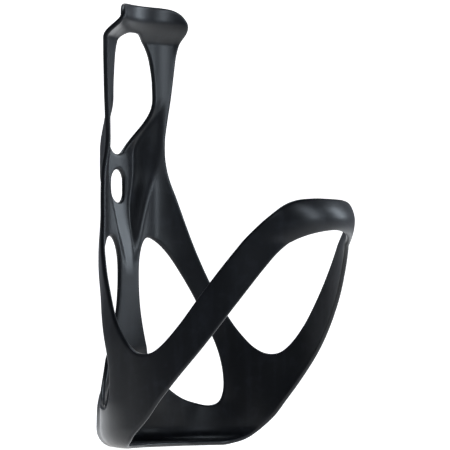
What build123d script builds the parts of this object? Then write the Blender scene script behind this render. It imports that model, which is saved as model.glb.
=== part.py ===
from build123d import *
from math import cos, radians, sin, tan
import os

# A moulded carbon bottle cage, in millimetres, drawn about the bottle's axis (x = y = 0) with its
# heel at z = 0, the hoop towards -Y and the bolt slots towards +Y. It is moved at the end, so that
# the origin lies midway between the slots, on the face that meets the bicycle.
# Angles run round the bottle from the middle of the hoop, 0, to the middle of the spine, 180.

# ---- bottle, wall and overall size ----
bottle_diameter = 74.0
bottle_clearance = 0.2
wall = 1.6
cage_height = 140.0
hoop_reach = 2.2            # how far the hoop's top stands forward of a true circle

# ---- bolt slots and the face that meets the bicycle ----
slot_spacing = 64.0
slot_width = 7.6
slot_length = 10.6
lower_slot_height = 19.0
mount_standoff = 2.4        # bolt face, out from the shell behind the bottle
recess_depth = 8.0          # over which the walls of the bolt recesses spread

# ---- heel shelf ----
heel_fillet = 4.4           # inside radius where the wall turns in to the shelf
shelf_front = 15.0          # front corners of the shelf, behind the bottle's axis
shelf_corner_inset = 3.2    # front corners of the shelf, in from the bottle's radius
shelf_scoop = 6.0           # hollow in the shelf's front edge
shelf_rise_angle = 102.5    # where the shelf's front edge has risen to the side panels

# ---- hoop ----
hoop_top = 77.4
hoop_depth = 9.6            # height of the hoop's band at the middle of its front
arm_depth = 16.2            # height of the band along the sloping arms
notch_height = 29.5         # lowest point of the notch between arm and wing

# ---- spine, tall window and top lip ----
leg_angle = 152.0           # outer edge of the legs where they leave the wings
leg_lean = 1.3              # how far the legs lean in above the upper bolt recess
strip_half_angle = 7.1      # half width of the centre strip at its narrowest
window_above_slot = 9.8     # foot of the tall window, above the middle of the upper slot
tall_window_half_width = 12.2
lip_height = 8.8            # from the legs' bend to the top edge
lip_lean = 5.0              # how far the lip leans in over the bottle's shoulder
lip_half_angle = 36.6
bend_radius = 2.5
lean_radius = 30.0

# ---- side windows ----
side_window_foot = 12.8
side_window_top_gap = 1.3   # top of the side windows, below the top of the centre strip

# ---- where the moulding's sections meet ----
hoop_section = 40.0
arm_section = 90.0
spine_half_width = 15.5
heel_section = 125.0
heel_section_top = 16.0
wing_above_notch = 12.7
strip_above_slot = 8.0      # centre strip: above the lower slot, and below the upper one
strip_below_slot = 15.0
leg_above_window = 10.2     # above the foot of the tall window
lip_below_bend = 4.2
lip_section_angle = 147.2
wing_foot_angle = 120.5

inner_radius = bottle_diameter / 2 + bottle_clearance
outer_radius = inner_radius + wall
middle_radius = inner_radius + wall / 2
mount_face = outer_radius + mount_standoff
upper_slot_height = lower_slot_height + slot_spacing
tall_window_foot = upper_slot_height + window_above_slot
leg_top = cage_height - lip_height
shelf_top = wall + heel_fillet
shelf_corner = inner_radius - shelf_corner_inset
wing_bottom = notch_height + wing_above_notch
strip_bottom = lower_slot_height + strip_above_slot
strip_top = upper_slot_height - strip_below_slot
leg_bottom = tall_window_foot + leg_above_window
lip_bottom = leg_top - lip_below_bend
near, far = inner_radius * 0.4, mount_face + 10


# ---- outlines of the two bolt recesses, as (x, height), right half, bottom to top ----
upper_foot = upper_slot_height - 7.5
# first on the bolt face, then where the walls have spread towards the bottle
upper_recess = [
    (3.6, upper_foot),
    (8.2, upper_foot + 4),
    (9.0, upper_foot + 9),
    (9.2, tall_window_foot + 4.2),
]
upper_recess_mouth = [
    (6.9, upper_foot - 8),
    (15.6, upper_foot + 1),
    (17.0, upper_foot + 8.6),
    (16.4, tall_window_foot + 19),
]
lower_recess = [
    (8.4, shelf_top + 0.5),
    (9.6, lower_slot_height - 9),
    (9.4, lower_slot_height - 4),
    (7.0, lower_slot_height + 2),
    (3.0, lower_slot_height + 6.2),
]
lower_recess_mouth = [
    (14.5, shelf_top - 10),
    (17.6, shelf_top),
    (17.4, lower_slot_height - 2.5),
    (13.2, lower_slot_height + 6),
    (5.6, lower_slot_height + 11),
]

# ---- edges of the band on the right-hand side, as (angle, height) ----
hoop_foot = hoop_top - hoop_depth
hoop_top_edge = [
    (0, hoop_top),
    (13, hoop_top - 0.3),
    (25, hoop_top - 1.2),
    (33, hoop_top - 3.5),
    (hoop_section, hoop_top - 7),
]
hoop_low_edge = [
    (0, hoop_foot),
    (14, hoop_foot - 1.2),
    (26, hoop_foot - 3.9),
    (34, hoop_foot - 8.2),
    (hoop_section, hoop_foot - 13),
]
arm_top_edge = [
    (hoop_section, hoop_top - 7),
    (53, notch_height + 31.5),
    (68, notch_height + 18.5),
    (80, notch_height + 8),
    (arm_section, notch_height + 1.6),
]
arm_low_edge = [
    (hoop_section, hoop_foot - 13),
    (53, notch_height + 31 - arm_depth),
    (68, notch_height + 18.2 - arm_depth),
    (80, notch_height + 9.2 - arm_depth),
    (arm_section, notch_height - 14.2),
]


def between(low, high, share):
    return low + (high - low) * share


def direction(angle):
    return Vector(sin(radians(angle)), -cos(radians(angle)), 0)


def radial_block(centre, *edges):
    """A solid with this outline of (angle, height) edges, whose sides all point at the axis."""
    wires = []
    for reach in (near, far):
        plane = Plane(direction(centre) * reach, x_dir=direction(centre + 90), z_dir=direction(centre))
        sides = []
        for edge in edges:
            flat = [(reach * tan(radians(angle - centre)), height) for angle, height in edge]
            points = [plane.from_local_coords(point) for point in flat]
            if len(points) == 2:
                sides.append(Edge.make_line(*points))
            else:
                steps = [i / (len(points) - 1) for i in range(len(points))]
                sides.append(Edge.make_spline(points, parameters=steps))
        wires.append(Wire(sides))
    return Solid.make_loft(wires, ruled=True)


def slab(half_width, low, high):
    """The part of space behind the axis within this half width and between two heights."""
    corner = (Align.CENTER, Align.MIN, Align.MIN)
    return Pos(0, 0, low) * Box(2 * half_width, 4 * far, high - low, align=corner)


def behind(outline, y):
    """A flat outline of (x, height) moved to this y."""
    return Plane.XZ.offset(-y) * outline


def bolt_recess(foot, mouth, inset=0):
    """A tapered block, widening from the bolt face towards the bottle, or one inset within it."""
    ends = []
    for points, y in ((foot, mount_face - inset), (mouth, mount_face - recess_depth - inset)):
        corners = points + [(-x, z) for x, z in reversed(points)]
        outline = make_face(Polyline(*corners, close=True))
        if inset:
            outline = offset(outline, amount=-inset * tan(radians(22.5)), kind=Kind.INTERSECTION)
        ends.append(behind(outline, y))
    return loft(ends, ruled=True)


def make_shell():
    """The whole back half before its openings: wall, heel shelf, leaning lip and bolt recesses."""
    leg_radius = middle_radius - leg_lean
    middle = FilletPolyline(
        (0, wall / 2),
        (middle_radius, wall / 2),
        (middle_radius, tall_window_foot),
        (leg_radius, leg_bottom + 5),
        (leg_radius, leg_top),
        (leg_radius - lip_lean, leg_top + lip_lean),
        (leg_radius - lip_lean, cage_height),
        radius=[heel_fillet + wall / 2, lean_radius, lean_radius, bend_radius, bend_radius],
    )
    section = Plane.XZ * trace(middle, wall)
    shell = revolve(section, Axis.Z, 360)
    within_top = leg_top - 2 * bend_radius
    within = FilletPolyline(
        (inner_radius, wall),
        (inner_radius, tall_window_foot),
        (inner_radius - leg_lean, leg_bottom + 5),
        (inner_radius - leg_lean, within_top),
        radius=[lean_radius - wall / 2, lean_radius + wall / 2],
    )
    ends = within @ 1, within @ 0
    to_axis = Polyline(ends[0], (0, within_top), (0, wall), ends[1])
    bottle = revolve(Plane.XZ * make_face([within, to_axis]), Axis.Z, 360)
    bottle = fillet(bottle.edges().group_by(Axis.Z)[0], heel_fillet)
    recesses = ((upper_recess, upper_recess_mouth), (lower_recess, lower_recess_mouth))
    for foot, mouth in recesses:
        shell = shell + (bolt_recess(foot, mouth) - bottle)
    above_shelf = slab(far, wall, cage_height)
    for foot, mouth in recesses:
        shell = shell - (bolt_recess(foot, mouth, inset=wall) & above_shelf)
    return shell & slab(far, 0, cage_height)


def make_front_ring():
    """The front half of the band's path: round along the arms, and flared out at the hoop."""
    reaches = {0: 0, 0.72: 0, 0.9: hoop_reach / 2, 1.02: hoop_reach}
    walls = []
    for radius in (outer_radius, inner_radius):
        rings = [
            Pos(0, 0, share * hoop_top) * Ellipse(radius, radius + reach)
            for share, reach in reaches.items()
        ]
        walls.append(loft(rings, ruled=True))
    return walls[0] - walls[1] - slab(far, 0, cage_height)


def mirrored(points):
    """Carry an edge drawn on the right over to the left, to run on from it."""
    return [(-angle, height) for angle, height in reversed(points)]


def spine_opening():
    """The tall window between the legs: a long egg, pointed towards the slot."""
    half = tall_window_half_width
    right = Spline(
        (0, tall_window_foot),
        (half * 0.36, between(tall_window_foot, leg_top, 0.09)),
        (half * 0.8, between(tall_window_foot, leg_top, 0.31)),
        (half, between(tall_window_foot, leg_top, 0.6)),
        (half * 0.86, between(tall_window_foot, leg_top, 0.86)),
        (0, leg_top),
        tangents=[(1, 0), (-1, 0)],
    )
    outline = make_face([right, mirror(right, Plane.YZ)])
    return extrude(behind(outline, inner_radius / 2), -far)


def bolt_slot(height):
    slot = Pos(0, height) * SlotOverall(slot_length, slot_width, rotation=90)
    return extrude(behind(slot, inner_radius / 2), -far)


def side_window():
    """The large opening between the centre strip, the wing and the heel."""
    top = strip_top - side_window_top_gap
    outer_shares = {149.5: 0.89, 139: 0.7, 129: 0.46, 122.6: 0.25, 123: 0.045}
    inner_shares = {
        143: 0.045,
        152: 0.115,
        159.5: 0.21,
        180 - strip_half_angle - 6.9: 0.36,
        180 - strip_half_angle - 1: 0.6,
        180 - strip_half_angle - 1.6: 0.88,
    }
    head, foot = (162.5, top), (130, side_window_foot)
    outer = [(angle, between(side_window_foot, top, share)) for angle, share in outer_shares.items()]
    inner = [(angle, between(side_window_foot, top, share)) for angle, share in inner_shares.items()]
    return radial_block(145, [head, *outer, foot], [foot, *inner, head])


def shelf_front_cut():
    """What is taken off the shelf: a hollow across its front, and the slope up to the arms."""
    left, right = (-shelf_corner, shelf_front), (shelf_corner, shelf_front)
    front = [
        ThreePointArc(left, (0, shelf_front + shelf_scoop), right),
        Polyline(right, (shelf_corner, -far), (-shelf_corner, -far), left),
    ]
    hollow = extrude(make_face(front), shelf_top)
    rise = -middle_radius * cos(radians(shelf_rise_angle))
    above = 2 * shelf_top
    slope = [
        Spline((shelf_front, 0), (rise + 4.6, 2.2), (rise + 2.2, 4), (rise, shelf_top)),
        Polyline((rise, shelf_top), (rise, above), (-far, above), (-far, 0), (shelf_front, 0)),
    ]
    sides = extrude(Plane.YZ * make_face(slope), far, both=True)
    return hollow + sides


# ---- the moulding, and its sections ----
ring = make_front_ring()
shell = make_shell() - spine_opening()
for window in (side_window(), mirror(side_window(), Plane.YZ)):
    shell = shell - window
for height in (lower_slot_height, upper_slot_height):
    shell = shell - bolt_slot(height)

spine = slab(spine_half_width, shelf_top, leg_bottom)
hoop = ring & radial_block(
    0,
    mirrored(hoop_top_edge),
    hoop_top_edge,
    [hoop_top_edge[-1], hoop_low_edge[-1]],
    list(reversed(hoop_low_edge)),
    list(reversed(mirrored(hoop_low_edge))),
    [mirrored(hoop_low_edge)[0], mirrored(hoop_top_edge)[0]],
)
arm = ring & radial_block(
    (hoop_section + arm_section) / 2,
    arm_top_edge,
    [arm_top_edge[-1], arm_low_edge[-1]],
    list(reversed(arm_low_edge)),
    [arm_low_edge[0], arm_top_edge[0]],
)
notch_edge = [
    (arm_section, notch_height + 1.6),
    (97, notch_height),
    (104.5, notch_height + 0.9),
    (113, notch_height + 5.9),
    (wing_foot_angle, wing_bottom),
]
side_back = 133             # far enough back to lie within the side window
side = (shell - spine) & radial_block(
    108,
    notch_edge,
    [(wing_foot_angle, wing_bottom), (side_back, wing_bottom)],
    [(side_back, wing_bottom), (side_back, heel_section_top)],
    [(side_back, heel_section_top), (heel_section, heel_section_top)],
    [(heel_section, heel_section_top), (heel_section, shelf_top)],
    [(heel_section, shelf_top), (shelf_rise_angle, shelf_top)],
    [(shelf_rise_angle, shelf_top), (95, 10.9), (arm_section, notch_height - 14.2)],
    [(arm_section, notch_height - 14.2), (arm_section, notch_height + 1.6)],
)
wing_shares = {131.5: 0.23, 140.5: 0.46, 146: 0.61, leg_angle: 0.78}
wing_edge = [
    (wing_foot_angle, wing_bottom),
    *[(angle, between(wing_bottom, leg_bottom, share)) for angle, share in wing_shares.items()],
    (leg_angle + 1, leg_bottom),
]
wing_back = 163             # under the spine, which is taken off it
wing = (shell - spine) & radial_block(
    140,
    wing_edge,
    [(leg_angle + 1, leg_bottom), (wing_back, leg_bottom)],
    [(wing_back, leg_bottom), (wing_back, wing_bottom)],
    [(wing_back, wing_bottom), (wing_foot_angle, wing_bottom)],
)
leg_edge = [
    (leg_angle + 1, leg_bottom),
    (leg_angle - 1.6, between(leg_bottom, lip_bottom, 0.375)),
    (lip_section_angle, lip_bottom),
]
leg = shell & radial_block(
    160,
    leg_edge,
    [(lip_section_angle, lip_bottom), (180, lip_bottom)],
    [(180, lip_bottom), (180, leg_bottom)],
    [(180, leg_bottom), (leg_angle + 1, leg_bottom)],
)
lip_end = 180 - lip_half_angle
lip_edge = [
    (lip_section_angle, lip_bottom),
    (lip_section_angle - 0.8, leg_top - 0.4),
    (lip_end + 0.6, leg_top + 2.1),
    (lip_end, leg_top + 4),
    (lip_end + 2.4, cage_height - 2.4),
    (lip_end + 9.5, cage_height),
]
lip_edge_left = [(360 - angle, height) for angle, height in reversed(lip_edge)]
lip = shell & radial_block(
    180,
    lip_edge,
    [lip_edge[-1], lip_edge_left[0]],
    lip_edge_left,
    [lip_edge_left[-1], lip_edge[0]],
)
heel_wall = (shell - spine) & radial_block(
    145,
    [(heel_section, shelf_top), (heel_section, strip_bottom)],
    [(heel_section, strip_bottom), (wing_back, strip_bottom)],
    [(wing_back, strip_bottom), (wing_back, shelf_top)],
    [(wing_back, shelf_top), (heel_section, shelf_top)],
)
shelf = (shell & slab(far, 0, shelf_top)) - shelf_front_cut()

nodes = {
    "front_hoop": hoop,
    "upper_bolt_plate": shell & slab(spine_half_width, strip_top, leg_bottom),
    "centre_strip": shell & slab(spine_half_width, strip_bottom, strip_top),
    "lower_bolt_pad": shell & slab(spine_half_width, shelf_top, strip_bottom),
    "heel_shelf": shelf,
    "top_lip": lip,
}
for name, piece in {"arm": arm, "side_panel": side, "wing": wing, "leg": leg, "heel_wall": heel_wall}.items():
    nodes[f"right_{name}"] = piece
    nodes[f"left_{name}"] = mirror(piece, Plane.YZ)

# ---- moved to the bolt face, and written out ----
to_bolt_face = Pos(0, -mount_face, -(lower_slot_height + slot_spacing / 2))
os.makedirs("parts", exist_ok=True)
for name, piece in nodes.items():
    export_step(to_bolt_face * piece, f"parts/{name}.step")
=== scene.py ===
import math
import bpy
import numpy as np
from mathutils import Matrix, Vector
from mathutils.geometry import delaunay_2d_cdt


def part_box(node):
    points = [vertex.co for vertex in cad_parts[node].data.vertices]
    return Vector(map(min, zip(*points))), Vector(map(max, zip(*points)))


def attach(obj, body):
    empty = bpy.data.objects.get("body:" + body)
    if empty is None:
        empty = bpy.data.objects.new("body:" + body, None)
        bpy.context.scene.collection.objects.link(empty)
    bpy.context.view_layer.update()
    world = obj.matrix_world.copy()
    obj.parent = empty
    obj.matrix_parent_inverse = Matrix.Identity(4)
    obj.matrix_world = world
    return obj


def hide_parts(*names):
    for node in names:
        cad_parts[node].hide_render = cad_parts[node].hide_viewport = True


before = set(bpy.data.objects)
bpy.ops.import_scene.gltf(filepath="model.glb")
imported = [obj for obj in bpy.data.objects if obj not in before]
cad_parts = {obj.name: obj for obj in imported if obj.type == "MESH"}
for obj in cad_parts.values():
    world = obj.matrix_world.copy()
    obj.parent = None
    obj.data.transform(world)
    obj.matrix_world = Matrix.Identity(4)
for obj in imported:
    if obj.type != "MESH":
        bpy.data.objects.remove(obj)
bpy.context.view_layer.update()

# ---- sizes of the moulding, in millimetres; heights are above the heel ----
MM = 0.001
BOTTLE_AXIS_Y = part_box("right_arm")[1][1]
HEEL_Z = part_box("heel_shelf")[0][2]
CAGE_TOP = (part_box("top_lip")[1][2] - HEEL_Z) / MM
HOOP_TOP = (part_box("front_hoop")[1][2] - HEEL_Z) / MM
WALL = 1.6
HALF_WALL = WALL / 2
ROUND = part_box("right_side_panel")[1][0] / MM - HALF_WALL      # radius of the middle of the wall
BOLT_FACE = (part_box("upper_bolt_plate")[1][1] - BOTTLE_AXIS_Y) / MM
SLOT_HEIGHTS = (19.0, 83.0)
SLOT_WIDTH = 7.6
SLOT_LENGTH = 10.6

HEEL_TURN = 5.2             # radius where the wall turns in to the shelf
WALL_FOOT = HEEL_TURN + HALF_WALL
TURN_LENGTH = HEEL_TURN * math.pi / 2
SHELF_FRONT = 15.0          # how far behind the bottle's axis the shelf's front corners are
SHELF_SCOOP = 6.0           # how much further back its hollow front edge is in the middle
SHELF_CORNER = 34.0         # how far across the corners are

HOOP_REACH = 2.2            # how far the hoop leans forward at its top
HOOP_FLARE = (54, 79)       # heights where the lean starts and is full
HOOP_BOW = 1.9              # how far its band bulges forward between its edges
BOW_MIDDLE = HOOP_TOP - 7.2
BOW_HALF_HEIGHT = 6.8
BOW_ENDS = (30, 60)         # angles where the bulge runs out into the arms
HOOP_TUCK = 1.5             # how far its top edge turns back in
TUCK_HEIGHTS = (HOOP_TOP - 6.5, HOOP_TOP + 1.0)

LEG_LEAN = 1.3              # how far in the legs beside the tall window lean
LEG_TWIST = 0.12            # how much flatter than the round each leg is, per millimetre across
LEG_MIDDLE = 15.8
LEG_EDGES = (12.5, 20.2)
LEG_HEIGHTS = (84, 98)      # where the lean starts and is full
LIP_LEAN = 5.0              # how far in the lip leans over the bottle's shoulder
LIP_HEIGHTS = (CAGE_TOP - 11.0, CAGE_TOP - 4.0)

# a swell starts, is full, fades and is gone at these heights and angles
STRIP_SET_IN = 2.1          # how far the flat centre strip stands in from the round
STRIP_RELEASE = 8.0         # how far its flat moves out, clear of the round, where the strip ends
STRIP_HEIGHTS = (12, 32, 88, 100)
WING_BULGE = 0.7            # how far the wings beside the side windows stand out from the round
WING_HEIGHTS = (20, 34, 60, 74)
WING_ANGLES = (116, 132, 142, 156)
PANEL_BULGE = 1.0           # and how far the side panels below them do
PANEL_HEIGHTS = (5, 15, 32, 50)
PANEL_ANGLES = (106, 124, 132, 146)

# foot of each bolt recess on its bolt face: (x, height) of the right half, and how steep each side is
UPPER_RECESS = [(0, 76.5), (6.0, 76.5), (8.9, 84.5), (9.3, 96.5), (0, 96.5)]
UPPER_STEEPNESS = [0.27, 1.5, 1.2, 0.55]
UPPER_RUN_OUT = 6.5         # the upper recess's long foot runs out no lower than this
LOWER_RECESS = [(11.0, -20), (11.0, 9), (10.6, 13.5), (7.6, 19), (3.4, 22.4), (0, 22.4)]
LOWER_STEEPNESS = [1.0, 1.0, 1.2, 1.2, 0.9]
RECESS_SIDES = (20, 26)     # how far across a recess starts to fade and is gone
RECESS_FOOT = (-14, WALL_FOOT - TURN_LENGTH)    # and the same along the shelf, as runs

# how softly neighbouring faces run into each other
STRIP_BLEND = 1.2
RECESS_SIDE_BLEND = 1.8
RECESS_BLEND = 1.6

# ---- mesh fineness ----
GRID = 0.9
NET_GAP = 0.62 * GRID       # the net keeps this far from the rims
EDGE_STEP = 0.7
TOUCHING = 1e-6             # an outline that ends closer than this to the middle plane ends on it
SEAM_ANGLE = 1e-4           # and a point within this angle of it lies on it
CURVE_STEPS = 40
# the rounded rim: (distance in from the edge, half thickness there)
RIM = ((0, 0), (0.03, 0.24), (0.11, 0.43), (0.25, 0.6), (0.45, 0.72), (0.75, 0.785), (1.2, HALF_WALL))


# ---------------------------------------------------------------- surface of the moulding
def ease(value, low, high):
    """0 below low, 1 above high, smooth between."""
    share = np.clip((value - low) / (high - low), 0, 1)
    return share * share * (3 - 2 * share)


def swell(value, starts, full, fades, gone):
    """1 in the middle of a span and 0 outside it, smooth between."""
    return ease(value, starts, full) * (1 - ease(value, fades, gone))


def soft_max(one, other, spread):
    """The larger of two values, with the corner between them rounded off."""
    overlap = np.clip(spread - np.abs(one - other), 0, None) / spread
    return np.maximum(one, other) + overlap * overlap * spread / 4


def recess_reach(x, height, corners, steepness):
    """How far back the wall of a bolt recess stands at (x, height)."""
    fall = np.zeros_like(x)
    for (x0, z0), (x1, z1), steep in zip(corners, corners[1:], steepness):
        length = math.hypot(x1 - x0, z1 - z0)
        outside = ((z1 - z0) * (x - x0) - (x1 - x0) * (height - z0)) / length
        fall = soft_max(fall, outside * steep, RECESS_SIDE_BLEND)
    return BOLT_FACE - HALF_WALL - fall


def recesses(across, height):
    """How far back the deeper of the two bolt recesses stands."""
    return np.maximum(
        recess_reach(across, np.maximum(height, UPPER_RUN_OUT), UPPER_RECESS, UPPER_STEEPNESS),
        recess_reach(across, height, LOWER_RECESS, LOWER_STEEPNESS),
    )


def flattened(round_y, height):
    """How far back the wall stands once the centre strip's flat has cut off the round."""
    share = swell(height, *STRIP_HEIGHTS)
    flat_y = ROUND - STRIP_SET_IN * share + STRIP_RELEASE * (1 - share)
    return round_y + flat_y - soft_max(round_y, flat_y, STRIP_BLEND)


def lean_in(angle, across, height):
    """How far in from the round the rear half stands; the wings and side panels stand out instead."""
    lip = ease(height, *LIP_HEIGHTS)
    twist = LEG_TWIST * (LEG_MIDDLE - np.clip(across, *LEG_EDGES)) * (1 - lip)
    legs = (LEG_LEAN + twist) * ease(height, *LEG_HEIGHTS)
    wings = WING_BULGE * swell(height, *WING_HEIGHTS) * swell(angle, *WING_ANGLES)
    panels = PANEL_BULGE * swell(height, *PANEL_HEIGHTS) * swell(angle, *PANEL_ANGLES)
    return legs + LIP_LEAN * lip - wings - panels


def reach_forward(angle, height):
    """How far forward of the round the hoop's half stands."""
    low, high = HOOP_FLARE
    flare = np.clip((height - low) / (high - low), 0, 1)
    bow = np.clip(1 - ((height - BOW_MIDDLE) / BOW_HALF_HEIGHT) ** 2, 0, 1) * (1 - ease(angle, *BOW_ENDS))
    tuck = ease(height, *TUCK_HEIGHTS)
    return HOOP_REACH * flare * (1 + flare) / 2 + HOOP_BOW * bow - HOOP_TUCK * tuck


def middle_surface(angle, run):
    """The middle of the wall, at an angle from the hoop's middle and a run up from the heel."""
    turn = np.clip((WALL_FOOT - run) / TURN_LENGTH, 0, 1) * math.pi / 2
    inward = HEEL_TURN * (1 - np.cos(turn)) + np.clip(WALL_FOOT - TURN_LENGTH - run, 0, None)
    height = np.where(run >= WALL_FOOT, run, WALL_FOOT - HEEL_TURN * np.sin(turn))
    radius = ROUND - inward
    x = radius * np.sin(np.radians(angle))
    y = -radius * np.cos(np.radians(angle))
    across = np.abs(x)
    behind = (angle > 90).astype(float)

    shrink = 1 - behind * lean_in(angle, across, height) / ROUND
    stretch = 1 + (1 - behind) * reach_forward(angle, height) / ROUND
    round_y = np.sqrt(np.clip(ROUND ** 2 - x ** 2, 0, None))
    push = soft_max(flattened(round_y, height) * shrink, recesses(across, height), RECESS_BLEND)
    push = (push - round_y * shrink) * (1 - ease(across, *RECESS_SIDES)) * ease(run, *RECESS_FOOT)
    return np.stack([x * shrink, y * shrink * stretch + push * behind, height], axis=-1)


def outward(angle, run):
    """Unit vectors square to the wall, pointing away from the bottle."""
    small = 0.02                # degrees or millimetres to each side, to take the slope over
    along = middle_surface(angle + small, run) - middle_surface(angle - small, run)
    up = middle_surface(angle, run + small) - middle_surface(angle, run - small)
    square = np.cross(along, up)
    return square / np.linalg.norm(square, axis=-1, keepdims=True)


# ---------------------------------------------------------------- outlines, as (angle, run) points
def smooth_line(points, closed=False):
    """An even row of points on a smooth curve through these, worked out on the unrolled wall.

    The curve is a centripetal spline: it doesn't loop or overshoot where the points stand close.
    """
    corners = unrolled(points)
    if closed:
        padded = np.vstack([corners[-2], corners, corners[1]])
    else:
        beyond = mirrored_end(corners[0], corners[1]), mirrored_end(corners[-1], corners[-2])
        padded = np.vstack([beyond[0], corners, beyond[1]])
    dense = []
    for p0, p1, p2, p3 in zip(padded, padded[1:], padded[2:], padded[3:]):
        t0 = 0.0
        t1 = t0 + math.sqrt(np.linalg.norm(p1 - p0))
        t2 = t1 + math.sqrt(np.linalg.norm(p2 - p1))
        t3 = t2 + math.sqrt(np.linalg.norm(p3 - p2))
        for t in np.linspace(t1, t2, CURVE_STEPS, endpoint=False):
            a1 = ((t1 - t) * p0 + (t - t0) * p1) / (t1 - t0)
            a2 = ((t2 - t) * p1 + (t - t1) * p2) / (t2 - t1)
            a3 = ((t3 - t) * p2 + (t - t2) * p3) / (t3 - t2)
            b1 = ((t2 - t) * a1 + (t - t0) * a2) / (t2 - t0)
            b2 = ((t3 - t) * a2 + (t - t1) * a3) / (t3 - t1)
            dense.append(((t2 - t) * b1 + (t - t1) * b2) / (t2 - t1))
    dense.append(corners[-1])
    dense = np.array(dense)
    length = np.concatenate([[0], np.cumsum(np.linalg.norm(np.diff(dense, axis=0), axis=1))])
    count = max(2, round(length[-1] / EDGE_STEP))
    even = np.linspace(0, length[-1], count + 1)
    line = np.stack([np.interp(even, length, dense[:, axis]) for axis in (0, 1)], axis=-1)
    return line[:-1] if closed else line


def shelf_front_points():
    """The shelf's hollow front edge, from the right-hand corner to the middle."""
    points = []
    for behind in (58, 54, 49, 43, 36, 28, 19, 9, 0):
        radius = ROUND
        for _ in range(60):                     # settles on where this bearing meets the edge
            x = radius * math.sin(math.radians(behind))
            edge_y = SHELF_FRONT + SHELF_SCOOP * (1 - (x / SHELF_CORNER) ** 2)
            radius = 0.5 * radius + 0.5 * edge_y / math.cos(math.radians(behind))
        points.append((180 - behind, WALL_FOOT - TURN_LENGTH - (ROUND - radius - HEEL_TURN)))
    return points


def slot_points(height):
    """The right half of a bolt slot, from its lowest point to its highest."""
    straight = (SLOT_LENGTH - SLOT_WIDTH) / 2
    points = []
    for turn in range(0, 181, 15):
        lift = -straight if turn < 90 else straight if turn > 90 else 0
        x = SLOT_WIDTH / 2 * math.sin(math.radians(turn))
        points.append((x, height - SLOT_WIDTH / 2 * math.cos(math.radians(turn)) + lift))
    return from_middle(points)


def from_middle(points):
    """(x, height) points near the spine, as (angle, run)."""
    return [(180 - math.degrees(math.asin(x / ROUND)), z) for x, z in points]


LOWER_EDGE = [
    (0, HOOP_TOP - 9.9), (7, HOOP_TOP - 10.2), (14, HOOP_TOP - 10.9), (20, HOOP_TOP - 11.9),
    (26, HOOP_TOP - 13.6), (33, HOOP_TOP - 17.2), (40, HOOP_TOP - 22.5), (53, 44.0), (68, 31.2),
    (80, 22.0), (90, 14.4), (96, 9.6), (102, 6.0), (106, 3.9), (110, 1.9), (113.8, 0.5), (117.5, -0.7),
]
UPPER_EDGE = [
    # the lip, from the spine round its ear
    (180, CAGE_TOP + 0.3), (170, CAGE_TOP + 0.3), (160, CAGE_TOP + 0.2), (153, CAGE_TOP - 0.3),
    (148, CAGE_TOP - 1.5), (144.7, CAGE_TOP - 3.3), (142.7, CAGE_TOP - 5.4), (142.5, CAGE_TOP - 7.2),
    (143.7, CAGE_TOP - 9.2), (144.9, CAGE_TOP - 11.2),
    # down the leg and the wing to the notch
    (146.3, 125.6), (147.8, 119), (149.6, 111), (151.6, 104), (153.0, 98), (152.5, 92.5), (149.7, 86),
    (145.6, 79.5), (140.0, 70), (131.0, 56), (124.2, 46.8), (118.5, 40.2), (113, 35.4), (107.5, 31.8),
    (102, 29.8), (97, 29.4), (93, 30),
    # up the arm to the hoop
    (88, 32.2), (80, 37.7), (68, 48.2), (53, 61.2), (46, 67.0), (40, HOOP_TOP - 6.2), (33, HOOP_TOP - 3.0),
    (25, HOOP_TOP - 1.2), (13, HOOP_TOP - 0.4), (0, HOOP_TOP - 0.3),
]
TALL_WINDOW = from_middle([
    (0, 93.2), (2.6, 93.8), (5.3, 96.2), (8.4, 99.8), (11.1, 104.0), (12.3, 108.6), (12.4, 114),
    (11.7, 120), (10.2, 125.5), (7.6, 129.4), (4.0, 131.5), (0, 131.9),
])
SIDE_WINDOW = [
    (162.5, 66.6), (157.5, 65.5), (149.5, 61), (139, 50.8), (129.2, 37.8), (124.6, 30), (122.4, 23),
    (122.4, 17.2), (124.6, 13.8), (129, 12.8), (136, 13.6), (143, 15.2), (151, 18.8), (157, 22.6),
    (161.4, 27.2), (164.8, 32.5), (168.0, 38.5), (170.4, 45), (171.5, 53), (170.9, 60), (168.4, 64.4),
    (165.6, 66.2), (162.5, 66.6),
]


# ---------------------------------------------------------------- the sheet, right-hand half
def unrolled(points):
    """(angle, run) points in millimetres on the flat sheet."""
    return np.array([(math.radians(angle) * ROUND, run) for angle, run in points])


def mirrored_end(end, neighbour):
    """The point beyond the end of an outline: its mirror image if the outline ends on the middle plane."""
    if min(abs(end[0]), abs(end[0] - math.pi * ROUND)) < TOUCHING:
        return np.array([2 * end[0] - neighbour[0], neighbour[1]])
    return 2 * end - neighbour


def leftward(line, closed):
    """Unit vectors pointing to the left of each point of an outline."""
    if closed:
        before, after = np.roll(line, 1, axis=0), np.roll(line, -1, axis=0)
    else:
        before = np.vstack([mirrored_end(line[0], line[1]), line[:-1]])
        after = np.vstack([line[1:], mirrored_end(line[-1], line[-2])])
    ahead = after - before
    left = np.stack([-ahead[:, 1], ahead[:, 0]], axis=-1)
    return left / np.linalg.norm(left, axis=1, keepdims=True)


def inside(points, loop):
    """Which points lie inside a closed loop."""
    result = np.zeros(len(points), bool)
    for (x0, y0), (x1, y1) in zip(loop, np.roll(loop, -1, axis=0)):
        crosses = (y0 > points[:, 1]) != (y1 > points[:, 1])
        with np.errstate(divide="ignore", invalid="ignore"):
            at = x0 + (points[:, 1] - y0) * (x1 - x0) / (y1 - y0)
        result ^= crosses & (points[:, 0] < at)
    return result


def gap_to(points, line):
    """Distance from each point to the nearest point of an outline."""
    nearest = np.full(len(points), 1e9)
    for corner in line:
        nearest = np.minimum(nearest, np.hypot(points[:, 0] - corner[0], points[:, 1] - corner[1]))
    return nearest


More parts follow.
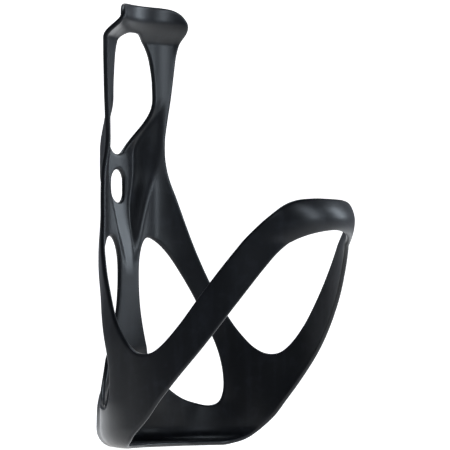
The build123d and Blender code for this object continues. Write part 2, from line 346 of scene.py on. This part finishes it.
class Sheet:
    """Points and faces of one half of the moulding, laid out flat."""

    def __init__(self):
        self.flat = []
        self.half = []
        self.faces = []

    def add(self, line, half):
        """Adds a row of points with this half thickness; returns their indices."""
        start = len(self.flat)
        self.flat.extend(map(tuple, line))
        self.half.extend([half] * len(line))
        return list(range(start, start + len(line)))

    def rim(self, line, closed=False):
        """Adds the rounded rim along one edge; returns the indices of its innermost row."""
        left = leftward(line, closed)
        rows = [self.add(line + left * inset, half) for inset, half in RIM]
        last = len(line) if closed else len(line) - 1
        for outer, inner in zip(rows, rows[1:]):
            for i in range(last):
                j = (i + 1) % len(line)
                self.faces.append((outer[i], outer[j], inner[j], inner[i]))
        return rows[-1]

    def seam(self, start, end):
        """A row of points up or down the middle plane between two rims."""
        a, b = np.array(self.flat[start]), np.array(self.flat[end])
        count = max(1, round(abs(b[1] - a[1]) / GRID))
        shares = np.linspace(0, 1, count + 1)[1:-1, None]
        return self.add(a + (b - a) * shares, HALF_WALL)

    def fill(self, loop, hole):
        """Fills between the innermost rows of the rims with an even net."""
        edge_line = np.array([self.flat[i] for i in loop])
        hole_line = np.array([self.flat[i] for i in hole])
        low, high = edge_line.min(axis=0), edge_line.max(axis=0)
        across, up = np.meshgrid(np.arange(low[0], high[0], GRID), np.arange(low[1], high[1], GRID))
        net = np.stack([across.ravel(), up.ravel()], axis=-1)
        net = net[inside(net, edge_line) & ~inside(net, hole_line)]
        net = net[(gap_to(net, edge_line) > NET_GAP) & (gap_to(net, hole_line) > NET_GAP)]
        members = loop + hole + self.add(net, HALF_WALL)
        edges = [(i, (i + 1) % len(loop)) for i in range(len(loop))]
        edges += [(len(loop) + i, len(loop) + (i + 1) % len(hole)) for i in range(len(hole))]
        points = [Vector(self.flat[i]) for i in members]
        meeting, _, triangles, origins, *_ = delaunay_2d_cdt(points, edges, [], 0, 1e-5, True)
        places = np.array([tuple(point) for point in meeting])
        sources = [members[origin[0]] for origin in origins]
        triangles = np.array(triangles)
        centres = places[triangles].mean(axis=1)
        kept = triangles[inside(centres, edge_line) & ~inside(centres, hole_line)]
        for triangle in kept:
            corners = places[triangle]
            turn = np.cross(corners[1] - corners[0], corners[2] - corners[0])
            order = triangle if turn > 0 else triangle[::-1]
            self.faces.append(tuple(sources[i] for i in order))


def half_sheet():
    """The right-hand half of the moulding, laid out flat."""
    sheet = Sheet()
    foot = sheet.rim(smooth_line(LOWER_EDGE + shelf_front_points()))
    slots = [sheet.rim(unrolled(slot_points(height))) for height in SLOT_HEIGHTS]
    window = sheet.rim(smooth_line(TALL_WINDOW))
    top = sheet.rim(smooth_line(UPPER_EDGE))
    side = sheet.rim(smooth_line(SIDE_WINDOW[::-1], closed=True), closed=True)
    loop = list(foot)
    for opening in (*slots, window, top):
        loop += sheet.seam(loop[-1], opening[0]) + opening
    loop += sheet.seam(loop[-1], foot[0])
    sheet.fill(loop, side)
    return sheet


def build_moulding():
    """The whole cage as one closed skin, in millimetres from the bottle's axis and the heel."""
    sheet = half_sheet()
    flat = np.array(sheet.flat)
    half = np.array(sheet.half)
    angle, run = np.degrees(flat[:, 0] / ROUND), flat[:, 1]
    middle = middle_surface(angle, run)
    square = outward(angle, run)
    on_seam = np.minimum(np.abs(angle), np.abs(angle - 180)) < SEAM_ANGLE
    middle[on_seam, 0] = 0
    square[on_seam, 0] = 0

    places, lookup = [], {}
    for index in range(len(flat)):
        for side in (1, -1):
            if half[index] == 0 and side == -1:
                lookup[index, 1, -1] = lookup[index, 1, 1]
                lookup[index, -1, -1] = lookup[index, -1, 1]
                continue
            place = middle[index] + square[index] * half[index] * side
            lookup[index, 1, side] = len(places)
            places.append(place)
            if on_seam[index]:
                lookup[index, -1, side] = lookup[index, 1, side]
            else:
                lookup[index, -1, side] = len(places)
                places.append(place * (-1, 1, 1))
    faces = []
    for face in sheet.faces:
        for hand in (1, -1):
            for side in (1, -1):
                corners = [lookup[index, hand, side] for index in face]
                faces.append(corners if hand * side > 0 else corners[::-1])
    return np.array(places), faces


def as_object(name, places, faces):
    """A smooth-shaded mesh object in the scene."""
    mesh = bpy.data.meshes.new(name)
    mesh.from_pydata([tuple(p) for p in places], [], faces)
    mesh.shade_smooth()
    mesh.update()
    made = bpy.data.objects.new(name, mesh)
    bpy.context.scene.collection.objects.link(made)
    return made


places, faces = build_moulding()
moulding = as_object("cage_moulding", places * MM + np.array([0, BOTTLE_AXIS_Y, HEEL_Z]), faces)
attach(moulding, "root")
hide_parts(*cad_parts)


# ---------------------------------------------------------------- finishes
class Paint:
    """A value inside a material; ordinary arithmetic on it adds the nodes that work it out."""

    def __init__(self, socket):
        self.socket = socket

    @property
    def tree(self):
        return self.socket.id_data

    def maths(self, operation, first, *rest):
        made = node(self.tree, "ShaderNodeMath", {"operation": operation})
        for slot, item in zip(made.inputs, (first, *rest)):
            join(item, slot)
        return Paint(made.outputs[0])

    def __add__(self, other):
        return self.maths("ADD", self, other)

    def __sub__(self, other):
        return self.maths("SUBTRACT", self, other)

    def __rsub__(self, other):
        return self.maths("SUBTRACT", other, self)

    def __mul__(self, other):
        return self.maths("MULTIPLY", self, other)

    def __abs__(self):
        return self.maths("ABSOLUTE", self)

    __radd__ = __add__
    __rmul__ = __mul__

    def fades(self, low, high):
        """0 below low, 1 above high, smooth between."""
        made = node(self.tree, "ShaderNodeMapRange", {"interpolation_type": "SMOOTHSTEP"},
                    {"Value": self, "From Min": low, "From Max": high})
        return Paint(made.outputs["Result"])


def join(item, slot):
    """Feeds a value, a Paint or a socket into a node's slot."""
    if isinstance(item, Paint):
        item = item.socket
    if isinstance(item, bpy.types.NodeSocket):
        item.id_data.links.new(item, slot)
    else:
        slot.default_value = item


def node(tree, kind, settings=None, slots=None):
    """Adds a node, sets it up and feeds its slots."""
    made = tree.nodes.new(kind)
    for name, value in (settings or {}).items():
        setattr(made, name, value)
    for name, item in (slots or {}).items():
        join(item, made.inputs[name])
    return made


def blend(tree, share, first, second):
    """Mixes two colours."""
    made = node(tree, "ShaderNodeMix", {"data_type": "RGBA"})
    join(share, made.inputs[0])
    join(first, made.inputs[6])         # the mix node's colour slots come after its number and vector slots
    join(second, made.inputs[7])
    return Paint(made.outputs[2])


def specks(tree, place, lumps, detail, stretch=(1, 1, 1), turn=(0, 0, 0)):
    """Cloudy noise between 0 and 1, at so many lumps per metre."""
    mapped = node(tree, "ShaderNodeMapping", {}, {"Vector": place, "Rotation": turn, "Scale": stretch})
    made = node(tree, "ShaderNodeTexNoise", {},
                {"Vector": mapped.outputs["Vector"], "Scale": lumps, "Detail": detail})
    return Paint(made.outputs["Fac"])


RESIN_BLACK = (0.0028, 0.0034, 0.0048, 1)
TOW_GREY = (0.0070, 0.0083, 0.0115, 1)
SATIN = 0.31                # roughness of the skin between the tows


def satin_carbon():
    """Moulded carbon composite with a satin skin: short tows just visible under a fine orange peel."""
    material = bpy.data.materials.new("satin_moulded_carbon")
    material.use_nodes = True
    tree = material.node_tree
    skin = tree.nodes["Principled BSDF"]
    place = node(tree, "ShaderNodeTexCoord").outputs["Object"]

    tows = specks(tree, place, 320, 3, stretch=(1, 1, 0.16), turn=(0.3, 0.5, 0.2))
    cross_tows = specks(tree, place, 320, 3, stretch=(0.16, 1, 1), turn=(-0.4, 0.2, 0.7))
    clouds = specks(tree, place, 45, 3)
    peel = specks(tree, place, 2600, 2)
    ripple = specks(tree, place, 160, 1)
    scratches = specks(tree, place, 900, 4, stretch=(1, 1, 0.05), turn=(0.9, 0.2, 0.4))
    scuffs = scratches.fades(0.68, 0.74)

    fibre = (tows.fades(0.5, 0.68) + cross_tows.fades(0.52, 0.7)) * 0.5
    rough = SATIN + (clouds - 0.5) * 0.09 + fibre * 0.05 + scuffs * 0.08
    relief = peel * 0.22 + ripple * 0.5 + fibre * 0.12
    bump = node(tree, "ShaderNodeBump", {}, {"Strength": 0.22, "Distance": 0.0001, "Height": relief})
    join(blend(tree, fibre, RESIN_BLACK, TOW_GREY), skin.inputs["Base Color"])
    join(rough, skin.inputs["Roughness"])
    join(bump.outputs["Normal"], skin.inputs["Normal"])
    join(0.27, skin.inputs["Specular IOR Level"])
    return material


BACK_X, BACK_Y = 0.85, 0.53     # the way across the floor from the cage to the painted pool of light on the wall
# painted light and shade on the backdrop: glow colours inside and outside the painted pool of light, and
# paper colours, darker outside it as painted shade
PAPER_GLOW = (1.02, 1.02, 1.02, 1)
DIM_GLOW = (0.1, 0.106, 0.12, 1)
PAPER = (0.8, 0.8, 0.8, 1)
PAPER_IN_PAINTED_SHADE = (0.45, 0.46, 0.48, 1)


def plain_backdrop():
    """Pale paper, lit by the lamps, with a painted pool of light: it glows brightest under and behind the
    cage, and elsewhere its glow and its colour are painted dimmer as painted shade.
    """
    material = bpy.data.materials.new("pale_backdrop")
    material.use_nodes = True
    tree = material.node_tree
    paper = tree.nodes["Principled BSDF"]
    place = node(tree, "ShaderNodeTexCoord").outputs["Object"]
    split = node(tree, "ShaderNodeSeparateXYZ", {}, {"Vector": place})
    x, y = Paint(split.outputs["X"]), Paint(split.outputs["Y"])
    beyond = x * BACK_X + y * BACK_Y
    sideways = x * BACK_Y - y * BACK_X
    # the painted pool of light: 1 under and behind the cage, 0 elsewhere
    painted_light_patch = abs(sideways).fades(0.6, 0.26) * beyond.fades(-0.17, -0.06)
    # painted light: the paper glows inside the patch; painted shade: its glow and colour are darker outside
    # it
    join(blend(tree, painted_light_patch, DIM_GLOW, PAPER_GLOW), paper.inputs["Emission Color"])
    join(blend(tree, painted_light_patch, PAPER_IN_PAINTED_SHADE, PAPER), paper.inputs["Base Color"])
    join(1.0, paper.inputs["Emission Strength"])
    join(0.9, paper.inputs["Roughness"])
    join(0.1, paper.inputs["Specular IOR Level"])
    return material


moulding.data.materials.append(satin_carbon())


# ---------------------------------------------------------------- camera
TARGET = Vector((0, BOTTLE_AXIS_Y - 0.0004, HEEL_Z + 0.0698))    # half way up the cage
CAMERA_BEARING = math.radians(58.236)       # round from the hoop's side towards the left arm
CAMERA_DROP = math.radians(1.891)           # how far below the target it stands
CAMERA_DISTANCE = 1.2082                    # metres
VIEW_WIDTH = 0.1413                         # how much of the cage's plane it takes in, in metres
SENSOR = 36.0                               # millimetres

toward_camera = Vector((
    -math.sin(CAMERA_BEARING) * math.cos(CAMERA_DROP),
    -math.cos(CAMERA_BEARING) * math.cos(CAMERA_DROP),
    -math.sin(CAMERA_DROP),
))
camera_data = bpy.data.cameras.new("studio_camera")
camera_data.sensor_width = SENSOR
camera_data.lens = SENSOR * CAMERA_DISTANCE / VIEW_WIDTH
camera_data.clip_start = 0.05
camera_data.clip_end = 20
camera = bpy.data.objects.new("studio_camera", camera_data)
camera.location = TARGET + toward_camera * CAMERA_DISTANCE
camera.rotation_euler = (-toward_camera).to_track_quat("-Z", "Y").to_euler()
bpy.context.scene.collection.objects.link(camera)
bpy.context.scene.camera = camera


# ---------------------------------------------------------------- floor, backdrop and lights
FLOOR_RADIUS = 2.2
COVE_RADIUS = 0.6           # where the floor turns up into the wall
COVE_STEPS = 12
WALL_TOP = 3.0
AROUND = 96                 # points in each ring of the floor and wall
COOL_LIGHT = (0.80, 0.90, 1.0)


def backdrop():
    """A pale floor that turns up into a wall all round, out of the camera's way."""
    rings = [(FLOOR_RADIUS, 0.0)]
    for step in range(1, COVE_STEPS + 1):
        turn = math.radians(90 * step / COVE_STEPS)
        out, rise = COVE_RADIUS * math.sin(turn), COVE_RADIUS * (1 - math.cos(turn))
        rings.append((FLOOR_RADIUS + out, rise))
    rings.append((FLOOR_RADIUS + COVE_RADIUS, WALL_TOP))
    corners = [(0, 0, 0)]
    for radius, rise in rings:
        for step in range(AROUND):
            turn = 2 * math.pi * step / AROUND
            corners.append((radius * math.cos(turn), radius * math.sin(turn), rise))
    sides = [(0, 1 + i, 1 + (i + 1) % AROUND) for i in range(AROUND)]
    for ring in range(len(rings) - 1):
        low = 1 + ring * AROUND
        for i in range(AROUND):
            j = (i + 1) % AROUND
            sides.append((low + i, low + AROUND + i, low + AROUND + j, low + j))
    corners = np.array(corners) + np.array([0, BOTTLE_AXIS_Y, HEEL_Z])
    made = as_object("floor_and_backdrop", corners, sides)
    made.data.materials.append(plain_backdrop())


def softbox(name, bearing, height, distance, width, tall, watts):
    """An area light facing the cage; its bearing runs clockwise from the camera as seen from above."""
    data = bpy.data.lights.new(name, "AREA")
    data.shape = "RECTANGLE"
    data.size = width
    data.size_y = tall
    data.energy = watts
    data.color = COOL_LIGHT
    lamp = bpy.data.objects.new(name, data)
    round_to = CAMERA_BEARING + math.radians(bearing)
    place = Vector((-math.sin(round_to), -math.cos(round_to), 0)) * distance
    lamp.location = TARGET + place + Vector((0, 0, height))
    lamp.rotation_euler = (TARGET - lamp.location).to_track_quat("-Z", "Y").to_euler()
    bpy.context.scene.collection.objects.link(lamp)


def studio_room():
    """The faint light of the room beyond the softboxes."""
    world = bpy.data.worlds.new("studio_room")
    world.use_nodes = True
    room = world.node_tree.nodes["Background"]
    join((0.92, 0.95, 1.0, 1), room.inputs["Color"])
    join(0.04, room.inputs["Strength"])
    bpy.context.scene.world = world


backdrop()
softbox("overhead_softbox", bearing=160, height=1.2, distance=0.4, width=0.9, tall=0.4, watts=6.5)
softbox("right_softbox", bearing=-78, height=0.3, distance=1.0, width=0.14, tall=0.7, watts=3.8)
softbox("front_softbox", bearing=-25, height=0.35, distance=1.1, width=0.35, tall=0.5, watts=1.0)
softbox("right_rear_softbox", bearing=-120, height=0.3, distance=1.1, width=0.3, tall=0.5, watts=3.0)
softbox("left_softbox", bearing=105, height=0.45, distance=1.1, width=0.1, tall=0.5, watts=0.3)
studio_room()
bpy.context.scene.view_settings.view_transform = "Standard"
